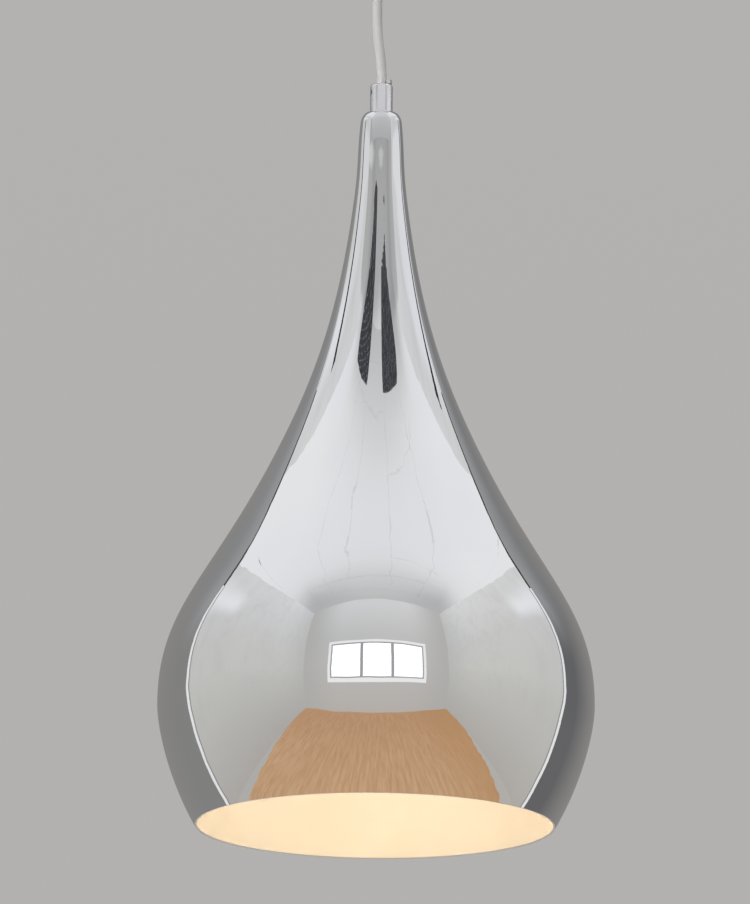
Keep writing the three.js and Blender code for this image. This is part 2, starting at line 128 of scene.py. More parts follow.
# ---------------------------------------------------------------- mesh helpers
def skin(rings, smooth_angle=35):
    """A closed form through a loop of rings of places in millimetres. A ring may be a single place."""
    verts, loops, faces = [], [], []
    sides = max(len(ring) for ring in rings)
    for ring in rings:
        first = len(verts)
        verts += [Vector(place) * MM for place in ring]
        loops.append([first + k % len(ring) for k in range(sides)])
    for one, two in zip(loops, loops[1:] + loops[:1]):
        for k in range(sides):
            after = (k + 1) % sides
            corners = list(dict.fromkeys((one[k], one[after], two[after], two[k])))
            if len(corners) > 2:
                faces.append(corners)
    mesh = bpy.data.meshes.new("piece")
    mesh.from_pydata(verts, [], faces)
    return dress(linked("piece", mesh), smooth_angle)


def dress(obj, smooth_angle=35):
    """Welds an object's seams, turns its faces outwards and shades it smooth."""
    work = bmesh.new()
    work.from_mesh(obj.data)
    bmesh.ops.remove_doubles(work, verts=work.verts, dist=0.002 * MM)
    bmesh.ops.recalc_face_normals(work, faces=work.faces)
    work.to_mesh(obj.data)
    work.free()
    obj.data.polygons.foreach_set("use_smooth", [True] * len(obj.data.polygons))
    obj.data.set_sharp_from_angle(angle=math.radians(smooth_angle))
    return obj


def baked(obj):
    """Replaces an object by a mesh object with its modifiers or curve settings applied."""
    bpy.context.view_layer.update()
    graph = bpy.context.evaluated_depsgraph_get()
    mesh = bpy.data.meshes.new_from_object(obj.evaluated_get(graph))
    mesh.transform(obj.matrix_world)
    bpy.data.objects.remove(obj)
    return dress(linked("piece", mesh))


def combine(body, *others, operation="UNION"):
    """Joins the others to a body, or takes them from it, or keeps what they share."""
    for other in others:
        change = body.modifiers.new("combine", "BOOLEAN")
        change.operation = operation
        change.solver = "EXACT"
        change.object = other
    made = baked(body)
    for other in others:
        bpy.data.objects.remove(other)
    return made


def carve(body, *tools):
    return combine(body, *tools, operation="DIFFERENCE")


def shift(obj, x=0, y=0, z=0, turn=0, axis="Z"):
    """Turns an object's mesh about an axis through the origin, and then moves it."""
    obj.data.transform(Matrix.Rotation(math.radians(turn), 4, axis))
    obj.data.transform(Matrix.Translation(Vector((x, y, z)) * MM))
    return obj


def soften(profile, radius, closed=True, steps=4, turned=True):
    """A profile with its corners rounded, apart from those on the axis if it is to be turned."""
    made = []
    last = len(profile) - 1
    for i, corner in enumerate(profile):
        here = Vector(corner)
        before, after = Vector(profile[i - 1]) - here, Vector(profile[(i + 1) % len(profile)]) - here
        kept = not closed and i in (0, last) or turned and here.x < 1e-6
        kept = kept or before.length < 1e-6 or after.length < 1e-6
        if kept or abs(before.angle(after) - math.pi) < 0.25:
            made.append(tuple(here))
            continue
        reach = min(radius, 0.45 * before.length, 0.45 * after.length)
        start, end = here + before.normalized() * reach, here + after.normalized() * reach
        for k in range(steps + 1):
            t = k / steps
            made.append(tuple(start * (1 - t) ** 2 + here * 2 * t * (1 - t) + end * t * t))
    return made


def bezier(start, first, second, end, steps):
    """Points along a cubic curve, without its start."""
    points = []
    for k in range(1, steps + 1):
        t = k / steps
        weights = ((1 - t) ** 3, 3 * t * (1 - t) ** 2, 3 * t * t * (1 - t), t**3)
        places = (start, first, second, end)
        points.append(tuple(sum(w * p[i] for w, p in zip(weights, places)) for i in (0, 1)))
    return points


def arc(x, z, radius, start, end, steps=10):
    """Points along a circular arc, from one angle to another in degrees."""
    turns = [math.radians(start + (end - start) * k / steps) for k in range(steps + 1)]
    return [(x + radius * math.cos(a), z + radius * math.sin(a)) for a in turns]


def polygon(count, radius):
    turns = [2 * math.pi * i / count for i in range(count)]
    return [(radius * math.cos(a), radius * math.sin(a)) for a in turns]


class Thread:
    """A screw thread on the part of a lathe profile that runs straight at one radius."""

    def __init__(self, radius, depth, pitch, start, end, rounded=False):
        self.radius, self.depth, self.pitch = radius, depth, pitch
        self.start, self.end, self.rounded = start, end, rounded

    def holds(self, r, z):
        return abs(r - self.radius) < 1e-4 and self.start - 1e-4 <= z <= self.end + 1e-4

    def radius_at(self, z, turn):
        phase = (z / self.pitch - turn / (2 * math.pi)) % 1
        wave = 0.5 - 0.5 * math.cos(2 * math.pi * phase) if self.rounded else abs(2 * phase - 1)
        fade = min(1, (z - self.start) / (0.8 * self.pitch), (self.end - z) / (0.8 * self.pitch))
        return self.radius - self.depth * wave * max(0, fade)


def with_thread_rows(profile, threads):
    """Adds rows to a profile's straight stretches that carry a thread."""
    made = []
    for here, after in zip(profile, profile[1:] + profile[:1]):
        made.append(here)
        thread = next((t for t in threads if t.holds(*here) and t.holds(*after)), None)
        if thread:
            rows = max(1, round(abs(after[1] - here[1]) / thread.pitch * 8))
            made += [(here[0], here[1] + (after[1] - here[1]) * k / rows) for k in range(1, rows)]
    return made


def lathe(profile, sides=96, threads=(), ribs=None, smooth_angle=35):
    """Turns a profile of (radius, height) round the Z axis. Points on the axis close the form."""
    rings = []
    for r, z in with_thread_rows(list(profile), threads):
        thread = next((t for t in threads if t.holds(r, z)), None)
        ring = []
        for k in range(sides if r >= 1e-6 else 1):
            turn = 2 * math.pi * k / sides
            radius = thread.radius_at(z, turn) if thread else r
            radius = ribs(radius, z, turn) if ribs else radius
            ring.append((radius * math.cos(turn), radius * math.sin(turn), z))
        rings.append(ring)
    return skin(rings, smooth_angle)


def ring_profile(inner, outer, bottom, top, edge=0.2):
    return soften([(inner, bottom), (outer, bottom), (outer, top), (inner, top)], edge)


def plate(outlines, thick, edge=0.12):
    """A flat plate across Z with softened edges. The first outline is its rim, and the others are holes."""
    data = bpy.data.curves.new("plate", "CURVE")
    data.dimensions, data.fill_mode = "2D", "BOTH"
    data.extrude, data.bevel_depth = (thick / 2 - edge) * MM, edge * MM
    data.offset, data.bevel_resolution = -edge * MM, 2
    draw(data, [[(x, y, 0) for x, y in outline] for outline in outlines], closed=True)
    return baked(linked("plate", data))


def draw(data, routes, closed=False):
    """Adds one line to a curve for each route of places in millimetres."""
    for route in routes:
        spline = data.splines.new("POLY")
        spline.points.add(len(route) - 1)
        for point, place in zip(spline.points, route):
            point.co = (*(Vector(place) * MM), 1)
        spline.use_cyclic_u = closed


def flat(corners, radius):
    """An outline in a plane with all its corners rounded."""
    return soften(corners, radius, turned=False)


def rounded_box(width, depth, height, x, y, z, edge=0.6):
    half_x, half_y = width / 2, depth / 2
    corners = [(half_x, half_y), (-half_x, half_y), (-half_x, -half_y), (half_x, -half_y)]
    return shift(plate([flat(corners, edge)], height, min(edge, 0.4)), x, y, z)


def rod_along(axis, radius, start, end, x, y, z, sides=32):
    """A plain round tool along one axis, for drilling."""
    made = lathe([(0, start), (radius, start), (radius, end), (0, end)], sides)
    turn = {"x": (90, "Y"), "y": (-90, "X"), "z": (0, "Z")}[axis]
    return shift(made, x, y, z, *turn)


def sweep(routes, radius, sides=16):
    """Round wires along routes of points in millimetres, one smooth wire for each route."""
    data = bpy.data.curves.new("wires", "CURVE")
    data.dimensions, data.bevel_depth = "3D", radius * MM
    data.bevel_resolution, data.use_fill_caps = sides // 4, True
    draw(data, routes)
    return baked(linked("wires", data))


def smooth_route(points, step=1.2):
    """Closely spaced points on a Catmull-Rom curve through a few places."""
    places = [Vector(p) for p in points]
    places = [places[0] * 2 - places[1]] + places + [places[-1] * 2 - places[-2]]
    made = []
    for a, b, c, d in zip(places, places[1:], places[2:], places[3:]):
        count = max(1, round((c - b).length / step))
        for k in range(count):
            t = k / count
            bend = (2 * a - 5 * b + 4 * c - d) * t * t + (3 * b - a - 3 * c + d) * t**3
            made.append((2 * b + (c - a) * t + bend) / 2)
    return made + [places[-2]]


# ---------------------------------------------------------------- node helpers
class Wire:
    """A number that flows through a node tree. Arithmetic on it adds Math nodes."""

    def __init__(self, tree, socket):
        self.tree, self.socket = tree, socket

    def math(self, operation, *others):
        node = self.tree.nodes.new("ShaderNodeMath")
        node.operation = operation
        for slot, value in zip(node.inputs, (self, *others)):
            plug(self.tree, value, slot)
        return Wire(self.tree, node.outputs[0])

    def __add__(self, other):
        return self.math("ADD", other)

    def __sub__(self, other):
        return self.math("SUBTRACT", other)

    def __mul__(self, other):
        return self.math("MULTIPLY", other)

    def __rsub__(self, other):
        return (self * -1) + other

    def __truediv__(self, other):
        return self.math("DIVIDE", other)

    def __abs__(self):
        return self.math("ABSOLUTE")

    def above(self, other):
        return self.math("GREATER_THAN", other)

    def under(self, other):
        return self.math("LESS_THAN", other)

    def least(self, other):
        return self.math("MINIMUM", other)

    def ease(self, start, end):
        """0 before start, 1 after end, and smooth between."""
        node = self.tree.nodes.new("ShaderNodeMapRange")
        node.interpolation_type = "SMOOTHSTEP"
        plug(self.tree, self, node.inputs[0])
        node.inputs[1].default_value, node.inputs[2].default_value = start, end
        return Wire(self.tree, node.outputs[0])

    def within(self, start, end):
        return self.above(start) * self.under(end)


def plug(tree, value, slot):
    """Links a wire to a socket, or writes a plain value on it."""
    if isinstance(value, Wire):
        tree.links.new(value.socket, slot)
    else:
        slot.default_value = value


def linear(*tone):
    """A display colour from 0 to 255 as a linear colour."""
    tone = tone * 3 if len(tone) == 1 else tone
    shares = [c / 255 for c in tone]
    return tuple(c / 12.92 if c <= 0.04045 else ((c + 0.055) / 1.055) ** 2.4 for c in shares) + (1,)


def mix(tree, share, first, second):
    """One colour where share is 0 and the other where it is 1."""
    node = tree.nodes.new("ShaderNodeMix")
    node.data_type = "RGBA"
    plug(tree, share, node.inputs[0])
    plug(tree, first, node.inputs[6])
    plug(tree, second, node.inputs[7])
    return Wire(tree, node.outputs[2])


def ramp(wire, start, end, stops):
    """Colours along a wire that runs from start to end. A stop is (place, display colour)."""
    share = (wire - start) / (end - start)
    node = wire.tree.nodes.new("ShaderNodeValToRGB")
    plug(wire.tree, share, node.inputs[0])
    elements = node.color_ramp.elements
    while len(elements) < len(stops):
        elements.new(0.5)
    for element, (place, tone) in zip(elements, stops):
        element.position = (place - start) / (end - start)
        element.color = linear(*tone)
    return Wire(wire.tree, node.outputs[0])


def split(tree, socket):
    node = tree.nodes.new("ShaderNodeSeparateXYZ")
    tree.links.new(socket, node.inputs[0])
    return [Wire(tree, out) for out in node.outputs]


def merge(tree, x, y, z):
    node = tree.nodes.new("ShaderNodeCombineXYZ")
    for slot, value in zip(node.inputs, (x, y, z)):
        plug(tree, value, slot)
    return Wire(tree, node.outputs[0])


def noise(tree, place, scale, detail=3, roughness=0.55):
    node = tree.nodes.new("ShaderNodeTexNoise")
    plug(tree, place, node.inputs["Vector"])
    node.inputs["Scale"].default_value = scale
    node.inputs["Detail"].default_value = detail
    node.inputs["Roughness"].default_value = roughness
    return Wire(tree, node.outputs[0])


# ---------------------------------------------------------------- materials
BULB_GLOW = 6.4


class Finish:
    """A procedural material: a Principled shader with its colour, roughness and bumps from noise. A noise
    is (scale, detail, stretch)."""

    def __init__(self, name, colour, roughness, bump=None, constants=()):
        self.material = bpy.data.materials.new(name)
        self.material.use_nodes = True
        self.tree = self.material.node_tree
        self.shader = self.tree.nodes["Principled BSDF"]
        for socket, value in dict(constants).items():
            self.shader.inputs[socket].default_value = value
        self.place = self.tree.nodes.new("ShaderNodeTexCoord").outputs["Object"]
        self.colour(*colour)
        grain, first, second = roughness
        plug(self.tree, self.grain(*grain) * (second - first) + first, self.shader.inputs["Roughness"])
        if bump:
            grain, height = bump
            node = self.tree.nodes.new("ShaderNodeBump")
            node.inputs["Strength"].default_value = 1.0
            node.inputs["Distance"].default_value = height * MM
            plug(self.tree, self.grain(*grain), node.inputs["Height"])
            self.tree.links.new(node.outputs[0], self.shader.inputs["Normal"])

    def grain(self, scale, detail=3, stretch=(1, 1, 1)):
        """Noise with features of about a metre over scale, stretched along the axes."""
        parts = split(self.tree, self.place)
        place = merge(self.tree, *(part * share for part, share in zip(parts, stretch)))
        return noise(self.tree, place, scale, detail)

    def colour(self, grain, first, second, low=0.35, high=0.65):
        tint = mix(self.tree, self.grain(*grain).ease(low, high), linear(*first), linear(*second))
        plug(self.tree, tint, self.shader.inputs["Base Color"])

    def warm_glow(self, stops):
        """A glow whose colour changes with the depth under the shade's top."""
        height = split(self.tree, self.place)[2] / MM
        stops = [(below(depth), tone) for depth, tone in stops]
        glow = ramp(height, stops[0][0], stops[-1][0], stops)
        plug(self.tree, glow, self.shader.inputs["Emission Color"])


def core_plastic(first, second):
    return ((300,), first, second), ((800,), 0.32, 0.48), ((1400, 2), 0.006), {"Specular IOR Level": 0.5}


METAL = {"Metallic": 1.0}
RINGS = (600, 3, (0.06, 0.06, 6))
# For each finish: a noise and two tones, a noise and two roughnesses, a noise and the height of its bumps in
# millimetres, and the shader's constants.
RECIPES = {
    "chrome": (((9,), (244, 245, 248), (249, 249, 250)), ((55, 5), 0.012, 0.035),
               ((26, 2, (1, 1, 2.2)), 0.05), METAL),
    "white_enamel": (((14,), (246, 243, 236), (250, 248, 243)), ((300,), 0.42, 0.55), ((700, 2), 0.02),
                     {"Coat Weight": 0.15, "Coat Roughness": 0.3}),
    "satin_nickel": (((90,), (243, 243, 248), (249, 249, 252)), (RINGS, 0.1, 0.26), (RINGS, 0.006), METAL),
    "zinc_steel": (((160, 5), (176, 180, 184), (206, 208, 207)), ((240, 4), 0.26, 0.5), ((900,), 0.008),
                   METAL),
    "brass": (((180, 4), (214, 178, 96), (232, 202, 128)), ((420, 4), 0.2, 0.42), ((900, 2), 0.006), METAL),
    "white_plastic": (((60,), (232, 230, 223), (239, 237, 231)), ((500, 4), 0.38, 0.55), ((1600, 2), 0.012),
                      {"Specular IOR Level": 0.45}),
    "nylon": (((220,), (196, 195, 196), (214, 213, 212)), ((700,), 0.35, 0.5), ((1500, 2), 0.008),
              {"Transmission Weight": 0.08, "IOR": 1.5}),
    "clear_pvc": (((120, 3, (1, 1, 0.3)), (248, 249, 249), (253, 253, 253)), ((260, 3), 0.07, 0.2),
                  ((420, 2, (1, 1, 0.35)), 0.05), {"Transmission Weight": 0.5, "IOR": 1.42}),
    "ceramic": (((140, 5), (236, 233, 224), (243, 241, 234)), ((500,), 0.28, 0.42), ((900, 3), 0.015),
                {"Coat Weight": 0.4, "Coat Roughness": 0.12}),
    "brown_core": core_plastic((98, 66, 46), (112, 76, 54)),
    "blue_core": core_plastic((42, 88, 152), (52, 100, 166)),
    "earth_core": core_plastic((84, 140, 52), (84, 140, 52)),
    "pale_core": core_plastic((246, 246, 245), (251, 251, 250)),
    "solder": (((300, 4), (150, 153, 158), (186, 188, 190)), ((600, 3), 0.25, 0.5), ((420, 3), 0.04), METAL),
    "black_glass": (((200,), (14, 14, 16), (24, 24, 27)), ((500,), 0.12, 0.25), ((700, 2), 0.01),
                    {"Coat Weight": 0.5, "Coat Roughness": 0.08}),
    "opal_glass": (((60,), (250, 246, 238), (253, 250, 244)), ((400,), 0.16, 0.26), ((500, 2), 0.01),
                   {"Emission Strength": BULB_GLOW}),
    "clear_glass": (((120,), (236, 241, 239), (246, 249, 248)), ((300,), 0.01, 0.05), ((260, 2), 0.02),
                    {"Transmission Weight": 1.0, "IOR": 1.5}),
    "tungsten": (((500,), (128, 118, 104), (150, 140, 124)), ((900,), 0.4, 0.6), ((1500, 2), 0.01), METAL),
}
MATERIALS = {name: Finish(name, *recipe) for name, recipe in RECIPES.items()}
# The earth core has a yellow stripe along each side, and the glow of the bulb is warmer towards its neck.
MATERIALS["earth_core"].colour((260, 0, (0.25, 1, 1)), (70, 132, 48), (226, 205, 60), 0.49, 0.51)
MATERIALS["opal_glass"].warm_glow(((248, (255, 232, 200)), (205, (255, 229, 194)), (168, (255, 214, 168))))


# ---------------------------------------------------------------- placing pieces
def named(name, piece, finish):
    """Gives a piece its name and the material of its finish."""
    piece.name = name
    piece.data.materials.clear()
    piece.data.materials.append(MATERIALS[finish].material)
    return piece


def stand_for(node, piece):
    """A piece that replaces a CAD node and moves with its body."""
    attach(named(node + "_fine", piece, SLOT_OF[node]), BODY_OF[node])
    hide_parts(node)


def extra(name, piece, body, slot, finish=None):
    """A visible piece that no CAD node of its own stands for."""
    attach(named(name, piece, finish or slot), body)


# ---------------------------------------------------------------- flex
SIDE_PIVOT = -44.3
FORE_PIVOT = -64.3
CORD_END = -121
HEAD_SPLIT = -54.5
# The flex hangs with a slight bow, so its route is given: x and z from top to bottom.
CORD_HEAD_ROUTE = [(0, SIDE_PIVOT), (-0.25, -49.5), (-0.9, HEAD_SPLIT), (-1.6, -58.5), (-1.95, -61.2)]
CORD_ROUTE = [
    (-2.25, FORE_PIVOT), (-2.65, -68.5), (-2.8, -73), (-2.8, -79), (-2.7, -85), (-2.4, -91),
    (-1.9, -96.5), (-1.2, -102), (-0.6, -107), (-0.2, -112), (0, -117), (0, CORD_END),
]


def direction(route, i):
    """The way that a route runs at one of its points."""
    return (route[min(i + 1, len(route) - 1)] - route[max(i - 1, 0)]).normalized()


def sheath(route, sides=32):
    """A clear tube along a route in the plane of X and Z."""
    outer, inner = [], []
    for rings, radius in ((outer, CORD_RADIUS), (inner, CORD_RADIUS - SHEATH_WALL)):
        for i, place in enumerate(route):
            across = direction(route, i).cross(Vector((0, 1, 0)))
            rings.append([place + across * x + Vector((0, y, 0)) for x, y in polygon(sides, radius)])
    return skin(outer + inner[::-1])


def twisted_cores(route):
    """Three cores laid up round each other inside the sheath."""
    wires = []
    for start in (0, 120, 240):
        turns = [math.radians(start) + 2 * math.pi * place.z / CORE_LAY for place in route]
        wires.append([place + Vector((CORE_ORBIT * math.cos(turn), CORE_ORBIT * math.sin(turn), 0))
                      for place, turn in zip(route, turns)])
    return sweep(wires, CORE_RADIUS, 12)


def along_z(start, end, step=1.5):
    count = max(2, round(abs(end - start) / step))
    return [Vector((0, 0, start + (end - start) * k / count)) for k in range(count + 1)]


def flex():
    """The free flex, in two lengths that meet between the two hinges, and its hidden ends."""
    whole = smooth_route([(x, 0, z) for x, z in CORD_HEAD_ROUTE + CORD_ROUTE])
    whole = [Vector((0, 0, high("cord_head").z))] + whole
    split_at = min(range(len(whole)), key=lambda i: abs(whole[i].z - HEAD_SPLIT))
    upper, lower = whole[: split_at + 1], whole[split_at:]
    spans = {"cord_head": ("ceiling_rose", SIDE_PIVOT + 1, HEAD_SPLIT + 0.5),
             "cord": ("cord_head", HEAD_SPLIT - 0.5, 2 * FORE_PIVOT - HEAD_SPLIT + 0.5)}
    pieces = {}
    for node, route in (("cord_head", upper), ("cord", lower)):
        before, start, end = spans[node]
        for kind, make, finish in (("_fine", sheath, "clear_pvc"), ("_cores", twisted_cores, "pale_core")):
            piece = pieces[node + kind] = named(node + kind, make(route), finish)
            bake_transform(piece)
            if kind == "_fine":
                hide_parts(node)
    path = [place * MM for place in reversed(lower)]
    length = sum((b - a).length for a, b in zip(path, path[1:]))
    pieces.pop("cord_fine")
    for node in ("flex_ceiling_end", "flex_lamp_end"):
        (start, end), gap = span(node), 0.5
        stand_for(node, sheath(along_z(start, end)))
        cores = twisted_cores(along_z(start + gap, end - gap))
        extra(node + "_cores", cores, BODY_OF[node], "clear_pvc", "pale_core")


# ---------------------------------------------------------------- shade
def shade_outline(steps=26):
    """The spun outline as (radius, depth): shoulder, neck, flare, belly, and the turn in to the mouth."""
    curves = (((9.4, 0), (11.3, 2.9), (11.5, 6.5), steps // 3),
              ((13.2, 23.5), (12.2, 30), (14.8, 50.5), steps),
              ((23.1, 117), (36.5, 153.5), (57.8, 196.5), 2 * steps),
              ((93.4, 268), (120, 283), (120, 334.5), 2 * steps),
              ((120, 348), (113.3, 376.5), (98.5, 402), steps))
    outline = [(6.8, 0)]
    for curve in curves:
        outline += bezier(outline[-1], *curve)
    return outline


def inset(outline, distance):
    """An outline moved inwards by a distance, square to itself."""
    places = [Vector(place) for place in outline]
    ways = [direction(places, i) for i in range(len(places))]
    return [(r - way.y * distance, depth + way.x * distance) for (r, depth), way in zip(outline, ways)]


def trimmed(points, length):
    """A line of points with a length taken off its end."""
    end, before = Vector(points[-1]), Vector(points[-2])
    return points[:-1] + [tuple(end.lerp(before, length / (end - before).length))]


def at(points):
    """Points given by depth under the shade's top, as places in the row frame."""
    return [(r, below(depth)) for r, depth in points]


def shade():
    """The chromed shell and the enamel inside it, which also covers the cut edge of the mouth."""
    outline = shade_outline()
    hole, lip, gap = 5.03, 0.35, 0.03
    outer = trimmed(outline, lip)
    inner = trimmed(inset(outline, CHROME_WALL), lip)
    profile = [(hole, 0)] + outer + inner[:0:-1] + [(hole, CHROME_WALL)]
    stand_for("shade", lathe(at(profile), 320, smooth_angle=50))

    skin_out = trimmed(inset(outline, CHROME_WALL + gap), lip - gap)
    skin_in = inset(outline, SHADE_WALL)
    edge = [trimmed(outline, lip - gap)[-1], outline[-1], skin_in[-1], skin_in[-2]]
    profile = [(hole, CHROME_WALL + gap)] + skin_out[1:] + soften(edge, 0.15, closed=False)
    profile += skin_in[-3:0:-1] + [(hole, SHADE_WALL)]
    extra("shade_enamel", lathe(at(profile), 320, smooth_angle=50), "lamp", "white_enamel")


def grub_screw(node):
    """A socket set screw along X, made round Z and turned over."""
    centre = (low(node) + high(node)) / 2
    length, radius, chamfer = 1.55, 1.38, 0.2
    profile = [(0, 0), (radius - 0.25, 0), (radius, 0.25), (radius, length - chamfer),
               (radius - chamfer, length), (0, length)]
    body = lathe(profile, 40, [Thread(radius, 0.16, 0.5, 0.25, length - chamfer)])
    made = carve(body, plate([polygon(6, 0.82)], 1.8, 0.02))
    shift(shift(made, z=-length / 2), turn=90, axis="Y")
    turn = math.degrees(math.atan2(-centre.y, -centre.x)) if abs(centre.y) > 0.1 else 0
    stand_for(node, shift(shift(made, turn=turn), *centre))


def hex_nut(node, across_flats, hole=5.3):
    """A hexagon nut with chamfered corners and a threaded bore."""
    bottom, top = span(node)
    corner, mouth = across_flats / math.sqrt(3), hole + 0.6
    blank = shift(plate([polygon(6, corner)], top - bottom, 0.08), z=(top + bottom) / 2)
    cap = [(0, bottom), (0.84 * corner, bottom), (corner + 0.2, bottom + 0.75),
           (corner + 0.2, top - 0.75), (0.84 * corner, top), (0, top)]
    bore = [(0, bottom - 1), (mouth, bottom - 1), (mouth, bottom), (hole, bottom + 0.5),
            (hole, top - 0.5), (mouth, top), (mouth, top + 1), (0, top + 1)]
    thread = Thread(hole, 0.25, METRIC_PITCH, bottom + 0.5, top - 0.5)
    stand_for(node, carve(combine(blank, lathe(cap, 72), operation="INTERSECT"), lathe(bore, 48, [thread])))


# ---------------------------------------------------------------- ceiling fixing
def ceiling_bracket():
    """A folded zinc strap with two long slots, a tab for the terminal block and an ear at each end."""
    start, end = low("ceiling_bracket"), high("ceiling_bracket")
    half, drop, thick, bend = end.x, start.z, 1.5, 1.8
    right = [(half, drop), *arc(half - bend, -bend, bend, 0, 90, 6)]
    inner = [(half - thick, drop), *arc(half - bend, -bend, bend - thick, 0, 90, 4)]
    outline = [(-x, z) for x, z in right] + right[::-1] + inner + [(-x, z) for x, z in inner[::-1]]
    strap = shift(plate([outline], -2 * start.y, 0.15), turn=90, axis="X")
    tab = plate([flat([(12, -2), (12, end.y), (-12, end.y), (-12, -2)], 2.5)], thick, 0.15)
    slot = arc(4.7, 0, 2.3, -90, 90, 12) + arc(-4.7, 0, 2.3, 90, 270, 12)
    tools = [rod_along("x", 2.15, -half - 5, half + 5, 0, 0, CANOPY_SCREW_Z),
             rod_along("z", 1.8, -9, 9, 0, 21.5, 0), rod_along("z", 2.1, -9, 9, -15, 0, 0),
             *(shift(plate([slot], 9, 0.01), x) for x in (-29, 29))]
    stand_for("ceiling_bracket", carve(combine(strap, shift(tab, z=-thick / 2)), *tools))


def canopy_cover():
    """A shallow chromed cup with a rolled rim, a rounded edge and a hole for the cord grip."""
    radius, (floor, top) = high("canopy_cover").x, span("canopy_cover")
    wall, corner, hole = 1.0, 6.0, 5.3
    outer = arc(radius - corner, floor + corner, corner, -90, 0, 14)
    inner = arc(radius - corner, floor + corner, corner - wall, 0, -90, 14)
    rim = arc(radius - wall / 2, top - wall / 2, wall / 2, 0, 180, 8)
    profile = [(hole + 0.35, floor), *outer, *rim, *inner, (hole + 0.2, floor + wall),
               (hole, floor + wall - 0.2), (hole, floor + 0.3)]
    holes = rod_along("x", 2.15, -60, 60, 0, 0, CANOPY_SCREW_Z)
    stand_for("canopy_cover", carve(lathe(profile, 192, smooth_angle=50), holes))


def slotted_screw(shank, head, head_thick, bottom, top, slot_width, pitch):
    """A screw along Z with its slotted head at the bottom and its thread above."""
    seat = bottom + head_thick
    crown = soften([(0, bottom), (head * 0.82, bottom), (head, bottom + 0.5 * head_thick), (head, seat),
                    (shank, seat)], 0.5 * head_thick, closed=False)
    thread = Thread(shank, 0.32, pitch, seat + 0.2, top - 0.5)
    shaft = [(shank, thread.start), (shank, thread.end), (shank - 0.35, top), (0, top)]
    slot = rounded_box(head * 3, slot_width, head_thick * 0.9, 0, 0, bottom, 0.05)
    return carve(lathe(crown + shaft, 40, [thread]), slot)


def small_screws():
    """Canopy screws from the sides, and the screws of the terminal block and the earth."""
    for side, name in ((-1, "left"), (1, "right")):
        node = "canopy_screw_" + name
        start, end = low(node), high(node)
        inner, outer = sorted((abs(start.x), abs(end.x)))
        screw = slotted_screw(1.8, (end.z - start.z) / 2, 3, -outer, -inner, 0.9, 0.7)
        stand_for(node, shift(shift(screw, turn=-90 * side, axis="Y"), z=(start.z + end.z) / 2))
    sizes = {"terminal_screw_live": (1.2, 1.2, 0.5), "terminal_screw_neutral": (1.2, 1.2, 0.5),
             "terminal_fixing_screw": (1.4, 1.6, 0.7), "earth_screw": (1.8, 2.0, 0.7)}
    for node, (shank, head_thick, pitch) in sizes.items():
        start, end = low(node), high(node)
        screw = slotted_screw(shank, (end.y - start.y) / 2, head_thick, start.z, end.z, 0.7, pitch)
        stand_for(node, shift(screw, (start.x + end.x) / 2, (start.y + end.y) / 2, turn=25))


def terminal_block():
    """A moulded connector block with two towers and brass tubes."""
    start, end = low("terminal_block"), high("terminal_block")
    middle, size = (start + end) / 2, end - start
    towers = {"live": middle.x - 5, "neutral": middle.x + 5}
    tools = [rod_along("z", 1.8, start.z - 5, 0, middle.x, middle.y, 0)]
    for x in towers.values():
        tools.append(rod_along("y", 1.5, start.y - 3, end.y + 3, x, 0, TERMINAL_Z))
        tools.append(rod_along("z", 2, start.z - 5, -8.6, x, middle.y, 0))
    for y in (start.y, end.y):
        tools.append(rounded_box(1.2, 5, size.z + 4, middle.x, y, middle.z, 0.5))
    stand_for("terminal_block", carve(rounded_box(*size, *middle, 1.2), *tools))
    for name, x in towers.items():
        tube = shift(lathe(ring_profile(1.15, 1.47, -6.4, 6.4, 0.1), 40), turn=90, axis="X")
        extra("terminal_tube_" + name, shift(tube, x, middle.y, TERMINAL_Z), "ceiling_rose", "brass")


def earth_eyelet():
    """A crimped ring terminal."""
    radius, thick = 3.9, 0.8
    tag = plate([polygon(48, radius), polygon(48, 2.1)], thick, 0.1)
    neck = rounded_box(3.4, 2.4, thick, 4.4, 0, 0, 0.2)
    barrel = lathe(ring_profile(1.2, 1.5, -2.6, 2.6, 0.12), 36)
    for z in (-1.2, 1.2):
        barrel = carve(barrel, rod_along("y", 0.7, -0.8, 0.8, 1.75, 0, z, 16))
    barrel = shift(shift(barrel, turn=90, axis="Y"), 6.9, 0, -0.7 - thick / 2)
    centre, top = low("earth_eyelet").x + radius, high("earth_eyelet").z
    stand_for("earth_eyelet", shift(combine(tag, neck, barrel), centre, 0, top - thick / 2))


def ceiling_grip():
    """The upper cord grip: a rounded body under the canopy and a threaded spigot through it."""
    (bottom, top), spigot, floor, seat = span("ceiling_cord_grip"), 4.8, -31, -27.3
    profile = [(GRIP_BORE, bottom + 0.4), (GRIP_BORE + 0.4, bottom),
               *arc(GRIP_RADIUS - 1.5, bottom + 1.5, 1.5, -90, 0, 8), (GRIP_RADIUS, seat - 0.25),
               (GRIP_RADIUS - 0.25, seat), (spigot, seat), (spigot, top - 0.4), (spigot - 0.5, top),
               (3.2, top), (3.2, floor), (GRIP_BORE, floor)]
    body = lathe(profile, 96, [Thread(spigot, 0.5, METRIC_PITCH, seat, top - 0.4)])
    stand_for("ceiling_cord_grip", carve(body, rod_along("x", GRUB_HOLE, -9, -2, 0, 0, -36)))
    hex_nut("ceiling_grip_nut", 14)
    stand_for("ceiling_grip_insert", lathe(ring_profile(3.1, 4.1, *span("ceiling_grip_insert"), 0.35), 64))
    grub_screw("ceiling_grip_screw")


def core(node, route):
    stand_for(node, sweep([route], 0.95, 20))


